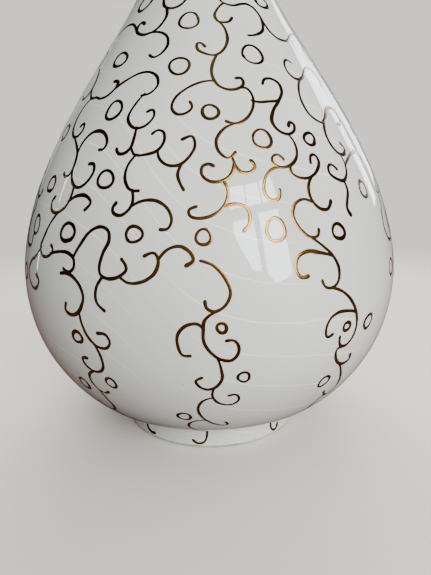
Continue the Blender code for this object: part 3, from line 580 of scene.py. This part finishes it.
brush = {
    "halfWidth": 0.58 * mm,    # half the section, of which three quarters shows above the glaze
    "rise": 0.036 * mm,        # how far the gold stands above the glaze
    "sink": 0.060 * mm,        # how deep the middle of its section lies under the glaze
    "spacing": 0.5 * mm,       # between sections along a line
    "ringSpacing": 0.55 * mm,  # and round a ring
    "sectionSides": 8,
    "sway": 0.13,              # how much a hand-drawn line swells and thins
    "slowSway": 2.6 * mm,
    "quickSway": 1.1 * mm,
    "belly": 0.26,             # how much fuller its middle is than its start
    "endBlob": 0.22,           # how much it swells where the brush lifts
    "blobReach": 1.0 * mm,
    "strokeBlobs": (0.3, 1.0),   # share of that swelling at the start and the end of a stroke
    "ringBlobs": (0.2, 0.2),
    "endHeight": 0.35,         # part of its height left at the very end
    "flank": 0.25,             # how much fuller the lines are toward the flanks of each third
    "flankAt": 38,             # degrees from the middle of a third
    "strokeSpread": (0.92, 1.08),   # how much one stroke's width differs from the next
    "ringSpread": (0.90, 1.08),
    "thirdWarp": (1.5, 1.3),   # degrees and mm by which the drawing differs on the other two thirds
    "seed": 11,
}
thirdTurn = 120       # degrees between the three copies of the drawing
drawnDegree = 1.15    # mm in a degree round the body, about, so that a line bends evenly both ways
drawnScale = vaseBody["height"] / (250 * mm)   # the drawing's heights are for a vase 250 mm high


def flankShare(point):   # 0 along the middle of each third of the vase, 1 at its flanks
    degrees = math.degrees(math.atan2(point.x, -point.y))
    degrees = (degrees + thirdTurn / 2) % thirdTurn - thirdTurn / 2
    return min(1.0, (degrees / brush["flankAt"]) ** 2)


def lineWork(points, halfWidth, draw, blobs):   # one brush line along points on the glaze
    phase = [draw.uniform(0, 2 * math.pi) for _ in range(3)]   # the third only keeps later draws in step
    alongs = [(after - before).normalized() for before, after in
              zip([points[0]] + points[:-1], points[1:] + [points[-1]])]
    runs = [0.0]
    for before, after in zip(points, points[1:]):
        runs.append(runs[-1] + (after - before).length)
    rings = []   # place, along, half width, scale of the rounded ends
    for point, along, run in zip(points, alongs, runs):
        near = math.exp(-(run / brush["blobReach"]) ** 2) * blobs[0]
        far = math.exp(-((runs[-1] - run) / brush["blobReach"]) ** 2) * blobs[1]
        slow = math.sin(run / brush["slowSway"] + phase[0])
        quick = math.sin(run / brush["quickSway"] + phase[1])
        full = math.sin(math.pi * (0.08 + 0.80 * run / runs[-1])) - 0.5
        width = halfWidth * (1 + brush["sway"] * (slow * 0.6 + quick * 0.4)
                             + brush["belly"] * full + brush["endBlob"] * (near + far))
        width *= 1 + brush["flank"] * flankShare(point)
        rings.append((point, along, width, 1.0))
    first, last = rings[0], rings[-1]
    for degrees in (30, 58, 80):   # rounded ends, a half ball beyond each end point
        out, scale = math.sin(math.radians(degrees)), math.cos(math.radians(degrees))
        rings.insert(0, (first[0] - first[1] * first[2] * out, first[1], first[2], scale))
        rings.append((last[0] + last[1] * last[2] * out, last[1], last[2], scale))
    work = bmesh.new()
    rimLayer = work.verts.layers.float.new("rim")
    loop = bmesh.ops.create_circle(work, cap_ends=False, radius=1, segments=brush["sectionSides"])["verts"]
    for vert in loop:   # 1 at the edge of the line, 0 along its middle: where the gold's painted edge shade falls
        vert[rimLayer] = abs(vert.co.x)
    edges, placed = work.edges[:], Matrix.Identity(4)
    startEdges = edges
    fullHeight, endHeight = brush["rise"] + brush["sink"], brush["endHeight"]
    for index, (point, along, width, scale) in enumerate(rings):
        normal = glazeNormal(point)
        side = along.cross(normal).normalized()
        high = fullHeight * (endHeight + (1 - endHeight) * scale) * math.sqrt(width / halfWidth)
        wanted = Matrix((side * width * scale, normal * high, along)).transposed().to_4x4()
        wanted.translation = point - normal * brush["sink"]
        if index:
            grown = bmesh.ops.extrude_edge_only(work, edges=edges)["geom"]
            loop = [part for part in grown if isinstance(part, bmesh.types.BMVert)]
            fresh = set(loop)
            edges = [part for part in grown if isinstance(part, bmesh.types.BMEdge)
                     and part.verts[0] in fresh and part.verts[1] in fresh]
        bmesh.ops.transform(work, matrix=wanted @ placed.inverted(), verts=loop)
        placed = wanted
    bmesh.ops.holes_fill(work, edges=startEdges + edges, sides=brush["sectionSides"])
    bmesh.ops.recalc_face_normals(work, faces=work.faces)
    return work


def gather(target, work):   # adds a finished line to its piece
    held = bpy.data.meshes.new("held")
    work.to_mesh(held)
    work.free()
    target.from_mesh(held)
    bpy.data.meshes.remove(held)


def handWarp(degrees, height, third):   # the same drawing by hand again: never quite the same
    if third == 0:
        return degrees, height
    calm = max(0.0, 1 - (degrees / 62) ** 4) * min(1.0, max(0.0, (height - 12) / 20))   # 0 at seams and foot
    turn, lift = brush["thirdWarp"]
    return (degrees + calm * turn * math.sin(height / 17 + third * 2.1 + degrees / 40),
            height + calm * lift * math.sin(degrees / 13 + third * 1.3 + height / 31))


def strokePoints(stroke, third):   # on the glaze, in metres
    drawn = [(degrees * drawnDegree, height, 0) for degrees, height in stroke]
    line = []
    for spot in smoothLine(drawn, brush["spacing"] / mm):
        degrees, height = handWarp(spot.x / drawnDegree, spot.y, third)
        line.append(glazePoint(degrees + thirdTurn * third, height * mm * drawnScale))
    return line


def ringPoints(degrees, height, radius, third, draw):   # a loose ring, drawn a little past its start
    start, lean, oval = draw.uniform(0, 6.28), draw.uniform(0, 3.14), draw.uniform(0.03, 0.09)
    corner, slip = draw.uniform(0.02, 0.045), draw.uniform(-0.10, 0.10)
    degrees, height = handWarp(degrees, height, third)
    middle = height * mm * drawnScale
    around = glazeRadius(middle)
    slope = (glazeRadius(middle + mm) - glazeRadius(middle - mm)) / (2 * mm)
    rise = 1 / math.sqrt(1 + slope ** 2)
    steps = max(20, round(2 * math.pi * radius * mm / brush["ringSpacing"]))
    line = []
    for step in range(steps + 2):
        turn = start + 2 * math.pi * step / steps
        shape = 1 + oval * math.cos(2 * (turn - lean)) + corner * math.cos(3 * turn + lean * 5)
        reach = radius * mm * (shape + slip * (step / steps - 0.5) ** 3 * 4)
        line.append(glazePoint(degrees + thirdTurn * third + math.degrees(reach * math.cos(turn) / around),
                               middle + reach * math.sin(turn) * rise))
    return line


goldLook = {
    "bright": "#947119",   # burnished gold
    "deep": "#6D4431",     # where the gold lies thin
    "rim": "#50272A",      # painted shade: dark red-brown along the edge of each line, for the dark room its sloping flanks mirror
    "rimBand": (0.54, 1.02),     # across the line, 0 at its middle and 1 at its edge, plus half the patch
    "metal": (1.0, 0.7),         # how metallic its middle and its edge are
    "roughness": (0.27, 0.17),   # of thin and of thick gold
    "patch": 3.0,          # mm between thick and thin gold
    "brushMark": 0.28,     # mm between brush marks, drawn at about their real size
    "markDepth": 0.004,    # mm
}


def burnishedGold():   # liquid gold fired on the glaze and rubbed up: warm metal, with painted shade making its edges darker and browner
    look = goldLook
    made, tree, shader = newMaterial("burnishedGold")
    place = addNode(tree, "ShaderNodeTexCoord").outputs["Object"]
    patch = addNode(tree, "ShaderNodeTexNoise",
                    {"Vector": place, "Scale": 1000 / look["patch"], "Detail": 3.0})
    ramp = addNode(tree, "ShaderNodeValToRGB", {0: patch.outputs[0]})
    for stop, spot, tone in zip(ramp.color_ramp.elements, (0.30, 0.66), ("deep", "bright")):
        stop.position = spot
        stop.color = linearColour(look[tone])
    rim = addNode(tree, "ShaderNodeAttribute", attribute_name="rim").outputs["Fac"]
    # painted shade along the edges of each line, reaching further in where the patch noise is high
    shadedEdgeReach = addNode(tree, "ShaderNodeMath", {0: patch.outputs[0], 1: 0.5, 2: rim},
                   operation="MULTIPLY_ADD").outputs[0]
    rimFrom, rimTo = look["rimBand"]
    shadedEdgeShare = addNode(tree, "ShaderNodeMapRange",
                        {"Value": shadedEdgeReach, "From Min": rimFrom, "From Max": rimTo}).outputs[0]
    mixed = addNode(tree, "ShaderNodeMix", {0: shadedEdgeShare, 6: ramp.outputs[0], 7: linearColour(look["rim"])},
                    data_type="RGBA").outputs[2]
    tree.links.new(mixed, shader.inputs["Base Color"])
    middleMetal, edgeMetal = look["metal"]
    metal = addNode(tree, "ShaderNodeMapRange",
                    {"Value": shadedEdgeShare, "To Min": middleMetal, "To Max": edgeMetal}).outputs[0]
    tree.links.new(metal, shader.inputs["Metallic"])
    thinRough, thickRough = look["roughness"]
    matt = addNode(tree, "ShaderNodeMapRange",
                   {"Value": patch.outputs[0], "From Min": 0.3, "From Max": 0.7,
                    "To Min": thinRough, "To Max": thickRough}).outputs[0]
    tree.links.new(matt, shader.inputs["Roughness"])
    marks = addNode(tree, "ShaderNodeTexNoise",
                    {"Vector": place, "Scale": 1000 / look["brushMark"], "Detail": 2.0})
    bump = addNode(tree, "ShaderNodeBump",
                   {"Strength": 1.0, "Distance": look["markDepth"] * mm, "Height": marks.outputs[0]})
    tree.links.new(bump.outputs[0], shader.inputs["Normal"])
    return made


goldMaterial = burnishedGold()
for third, letter in enumerate("abc"):
    draw = random.Random(brush["seed"] + third)
    faces = 0
    for trail, strokes in trailStrokes.items():
        whole = bmesh.new()
        for stroke in strokes:
            halfWidth = brush["halfWidth"] * draw.uniform(*brush["strokeSpread"])
            gather(whole, lineWork(strokePoints(stroke, third), halfWidth, draw, brush["strokeBlobs"]))
        faces += len(whole.faces)
        name = "gold" + trail.capitalize() + letter.upper()
        finishPiece(name, whole, goldMaterial, ["gilt_%s_%s" % (trail, letter)])
    whole = bmesh.new()
    for degrees, height, radius in ringSpots:
        halfWidth = brush["halfWidth"] * draw.uniform(*brush["ringSpread"])
        points = ringPoints(degrees, height, radius, third, draw)
        gather(whole, lineWork(points, halfWidth, draw, brush["ringBlobs"]))
    faces += len(whole.faces)
    name = "goldRings" + letter.upper()
    finishPiece(name, whole, goldMaterial, ["gilt_ring_%s%d" % (letter, n) for n in range(10)])
    print("gilding, third", letter + ":", faces, "faces")


# floor, light and camera

studio = {
    "floor": "#ECE8E2",
    "floorForShadeAndReflection": "#56382F",      # painted shade and reflection: the floor's tone for every ray but the camera's, dark so that the vase's underside is shaded and its gold mirrors dark
    "floorRadius": 3.0,
    "floorRoughness": 0.9,
    "fade": (0.22, 0.62),        # metres out, where the floor starts and ends its fade into the backdrop
    "backdrop": "#F0ECE6",
    "backdropLight": 1.22,
    "fillColour": "#F4F2EE",     # soft light from all round
    "fill": 0.03,
    "mirroredFront": "#99948F",  # the room that glaze and gold reflect from the front
    "mirroredSides": "#1E1815",  # and from its dark sides
    "frontWay": (0.17, -0.98, 0.0),
    "frontBand": (0.3, 0.95),    # from the dark sides to the front, as the cosine of the angle between
    "windowColour": "#EDF4FF",
}
softboxes = [   # name, azimuth (0 front, 90 right), elevation, degrees wide and high, radiance, colour
    ("keyRight", 13.0, 25.0, 35.0, 40.0, 10.8, "#FDFFFA"),
    ("softLeft", -20.0, 30.0, 30.0, 40.0, 0.5, "#FFFDF8"),
    ("sideRight", 50.0, 25.0, 35.0, 40.0, 0.9, "#F6FAFF"),
    ("lowRight", 55.0, -1.0, 34.0, 7.0, 30.0, "#FFFAF4"),
    ("overhead", 0.0, 80.0, 50.0, 50.0, 1.2, "#FFFDF8"),
    ("backLeft", -150.0, 30.0, 40.0, 40.0, 1.0, "#FFFDF8"),
    ("backRight", 130.0, 20.0, 40.0, 40.0, 1.6, "#F6FAFF"),
    ("behind", 178.0, 32.0, 50.0, 45.0, 6.0, "#FFFDF8"),
]
sash = {   # the window that the belly mirrors, in degrees as seen from it
    "light": 25.0,
    "firstPane": 19.2,    # azimuth of the middle of the first of the three upper panes
    "panePitch": 11.5,
    "paneWide": 10.5,
    "upperMiddle": 39.3,
    "upperHigh": 8.9,
    "lean": 1.0,          # how far a pane's top stands to the right of its foot
}


def slanted(azimuth, elevation, wide, high, lean):   # corners of an upright pane whose top leans aside
    return [(azimuth + (side * wide + end * lean) / 2, elevation + end * high / 2)
            for side, end in ((-1, 1), (1, 1), (1, -1), (-1, -1))]


upperPanes = [(sash["light"], slanted(sash["firstPane"] + sash["panePitch"] * number, sash["upperMiddle"],
                                      sash["paneWide"], sash["upperHigh"], sash["lean"]))
              for number in range(3)]
windows = upperPanes + [   # what glaze and gold mirror: radiance, then each corner's azimuth and elevation
    (sash["light"], [(14.5, 29.5), (27.5, 30.5), (29, 8), (24.5, 7.5), (14.5, 24.5)]),   # two lower panes
    (sash["light"], [(31.5, 31.5), (45.5, 31), (47, 3), (37, -0.5), (32, 6.5)]),
    (10.0, [(123, 34.5), (131, 39), (139, 41), (146, 40), (138, 36),   # two strips down the right
            (130, 30), (134, 22), (133, 8), (126, 8), (127, 23)]),
    (6.0, [(148, 40), (156, 37), (152, 30), (149, 20), (147, 8),
           (137, 8), (139, 22), (136, 30), (142, 36)]),
    (0.5, [(-142, 6), (-160, 3), (-162, 28), (-145, 28)]),   # soft band on the left
    (11.0, slanted(-110.5, 19.2, 1.1, 6.5, -1.6)),   # two narrow lamps on the left
    (8.0, slanted(-117.8, -2, 1.1, 8, 1.9)),
    (0.6, [(-40, 66), (40, 66), (150, 80), (-150, 80)]),   # ceiling
]
lightAim = Vector((0.012, -0.070, 0.090))   # the belly's front, where the window is mirrored
lightDistance = 1.0


def toward(azimuth, elevation):   # unit vector from the vase
    a, e = math.radians(azimuth), math.radians(elevation)
    return Vector((math.sin(a) * math.cos(e), -math.cos(a) * math.cos(e), math.sin(e)))


def stagePiece(name, work, material):   # bmesh to a piece of the studio
    mesh = bpy.data.meshes.new(name)
    work.to_mesh(mesh)
    work.free()
    mesh.materials.append(material)
    piece = bpy.data.objects.new(name, mesh)
    bpy.context.scene.collection.objects.link(piece)
    return piece


def windowLight(name, radiance):   # daylight as glaze and gold mirror it
    made = bpy.data.materials.new(name)
    made.use_nodes = True
    made.node_tree.nodes.clear()
    glow = addNode(made.node_tree, "ShaderNodeEmission",
                   {"Color": linearColour(studio["windowColour"]), "Strength": radiance})
    addNode(made.node_tree, "ShaderNodeOutputMaterial", {"Surface": glow.outputs[0]})
    return made


for name, azimuth, elevation, wide, high, radiance, colour in softboxes:
    light = bpy.data.lights.new(name, "AREA")
    light.shape = "RECTANGLE"
    light.size = 2 * lightDistance * math.tan(math.radians(wide / 2))
    light.size_y = 2 * lightDistance * math.tan(math.radians(high / 2))
    light.energy = radiance * math.pi * light.size * light.size_y
    light.color = linearColour(colour)[:3]
    box = bpy.data.objects.new(name, light)
    direction = toward(azimuth, elevation)
    box.matrix_world = (Matrix.Translation(lightAim + direction * lightDistance)
                        @ direction.to_track_quat("Z", "Y").to_matrix().to_4x4())
    box.visible_camera = False
    box.visible_glossy = False
    bpy.context.scene.collection.objects.link(box)

for number, (radiance, corners) in enumerate(windows):
    work = bmesh.new()
    outline = [work.verts.new(lightAim + toward(*corner) * lightDistance) for corner in corners]
    bmesh.ops.contextual_create(work, geom=outline)
    pane = stagePiece("window%d" % number, work, windowLight("window%dLight" % number, radiance))
    pane.visible_camera = pane.visible_diffuse = pane.visible_shadow = pane.visible_transmission = False

world = bpy.data.worlds.new("softRoom")
world.use_nodes = True
bpy.context.scene.world = world
tree = world.node_tree
tree.nodes.clear()
path = addNode(tree, "ShaderNodeLightPath")
plain = addNode(tree, "ShaderNodeBackground",
                {"Color": linearColour(studio["fillColour"]), "Strength": studio["fill"]})
way = addNode(tree, "ShaderNodeTexCoord").outputs["Generated"]
facing = addNode(tree, "ShaderNodeVectorMath", {0: way, 1: studio["frontWay"]},
                 operation="DOT_PRODUCT").outputs["Value"]
sidesEnd, frontStart = studio["frontBand"]
ahead = addNode(tree, "ShaderNodeMapRange", {"Value": facing, "From Min": sidesEnd, "From Max": frontStart},
                interpolation_type="SMOOTHSTEP").outputs[0]
roomTone = addNode(tree, "ShaderNodeMix",
                   {0: ahead, 6: linearColour(studio["mirroredSides"]),
                    7: linearColour(studio["mirroredFront"])}, data_type="RGBA").outputs[2]
room = addNode(tree, "ShaderNodeBackground", {"Color": roomTone, "Strength": 1.0})
seen = addNode(tree, "ShaderNodeBackground",
               {"Color": linearColour(studio["backdrop"]), "Strength": studio["backdropLight"]})
soft = addNode(tree, "ShaderNodeMixShader",
               {0: path.outputs["Is Glossy Ray"], 1: plain.outputs[0], 2: room.outputs[0]})
whole = addNode(tree, "ShaderNodeMixShader",
                {0: path.outputs["Is Camera Ray"], 1: soft.outputs[0], 2: seen.outputs[0]})
addNode(tree, "ShaderNodeOutputWorld", {"Surface": whole.outputs[0]})

floorMaterial, tree, shader = newMaterial("paleFloorPaint")   # matt painted board, fading far out
seenDirectly = addNode(tree, "ShaderNodeLightPath").outputs["Is Camera Ray"]
# the camera sees the pale floor; bounce and reflections see it dark, as painted shade and painted reflection
floorTone = addNode(tree, "ShaderNodeMix",
                    {0: seenDirectly, 6: linearColour(studio["floorForShadeAndReflection"]),
                     7: linearColour(studio["floor"])}, data_type="RGBA").outputs[2]
tree.links.new(floorTone, shader.inputs["Base Color"])
shader.inputs["Roughness"].default_value = studio["floorRoughness"]
across = addNode(tree, "ShaderNodeTexCoord").outputs["Object"]
away = addNode(tree, "ShaderNodeVectorMath", {0: across}, operation="LENGTH").outputs["Value"]
fadeFrom, fadeTo = studio["fade"]
far = addNode(tree, "ShaderNodeMapRange", {"Value": away, "From Min": fadeFrom, "From Max": fadeTo},
              interpolation_type="SMOOTHSTEP").outputs[0]
share = addNode(tree, "ShaderNodeMath", {0: far, 1: seenDirectly}, operation="MULTIPLY").outputs[0]
haze = addNode(tree, "ShaderNodeEmission",
               {"Color": linearColour(studio["backdrop"]), "Strength": studio["backdropLight"]})
blend = addNode(tree, "ShaderNodeMixShader", {0: share, 1: shader.outputs[0], 2: haze.outputs[0]})
surface = next(node for node in tree.nodes if node.type == "OUTPUT_MATERIAL").inputs["Surface"]
tree.links.new(blend.outputs[0], surface)

work = bmesh.new()
bmesh.ops.create_circle(work, cap_ends=True, radius=studio["floorRadius"], segments=96)
bmesh.ops.translate(work, verts=work.verts, vec=(0, 0, cadBox[0].z - 0.02 * mm))
stagePiece("paleFloor", work, floorMaterial)

viewpoint = {
    "place": (0.0, -0.19457, 0.09860),
    "pitch": 12.584,   # degrees down
    "yaw": 0.663,      # degrees to the right
    "roll": -0.676,
    "lens": 28.17,     # mm on a 36 mm film
}
pitch, yaw, roll = [math.radians(viewpoint[key]) for key in ("pitch", "yaw", "roll")]
forward = Vector((math.sin(yaw) * math.cos(pitch), math.cos(yaw) * math.cos(pitch), -math.sin(pitch)))
right = forward.cross(Vector((0, 0, 1))).normalized()
upward = right.cross(forward)
rolledRight = right * math.cos(roll) + upward * math.sin(roll)
rolledUp = upward * math.cos(roll) - right * math.sin(roll)
camera = bpy.data.cameras.new("camera")
camera.lens = viewpoint["lens"]
camera.sensor_width = 36
camera.clip_start = 0.01
cameraObject = bpy.data.objects.new("camera", camera)
cameraObject.matrix_world = (Matrix.Translation(viewpoint["place"])
                             @ Matrix((rolledRight, rolledUp, -forward)).transposed().to_4x4())
bpy.context.scene.collection.objects.link(cameraObject)
bpy.context.scene.camera = cameraObject
print("studio ready")
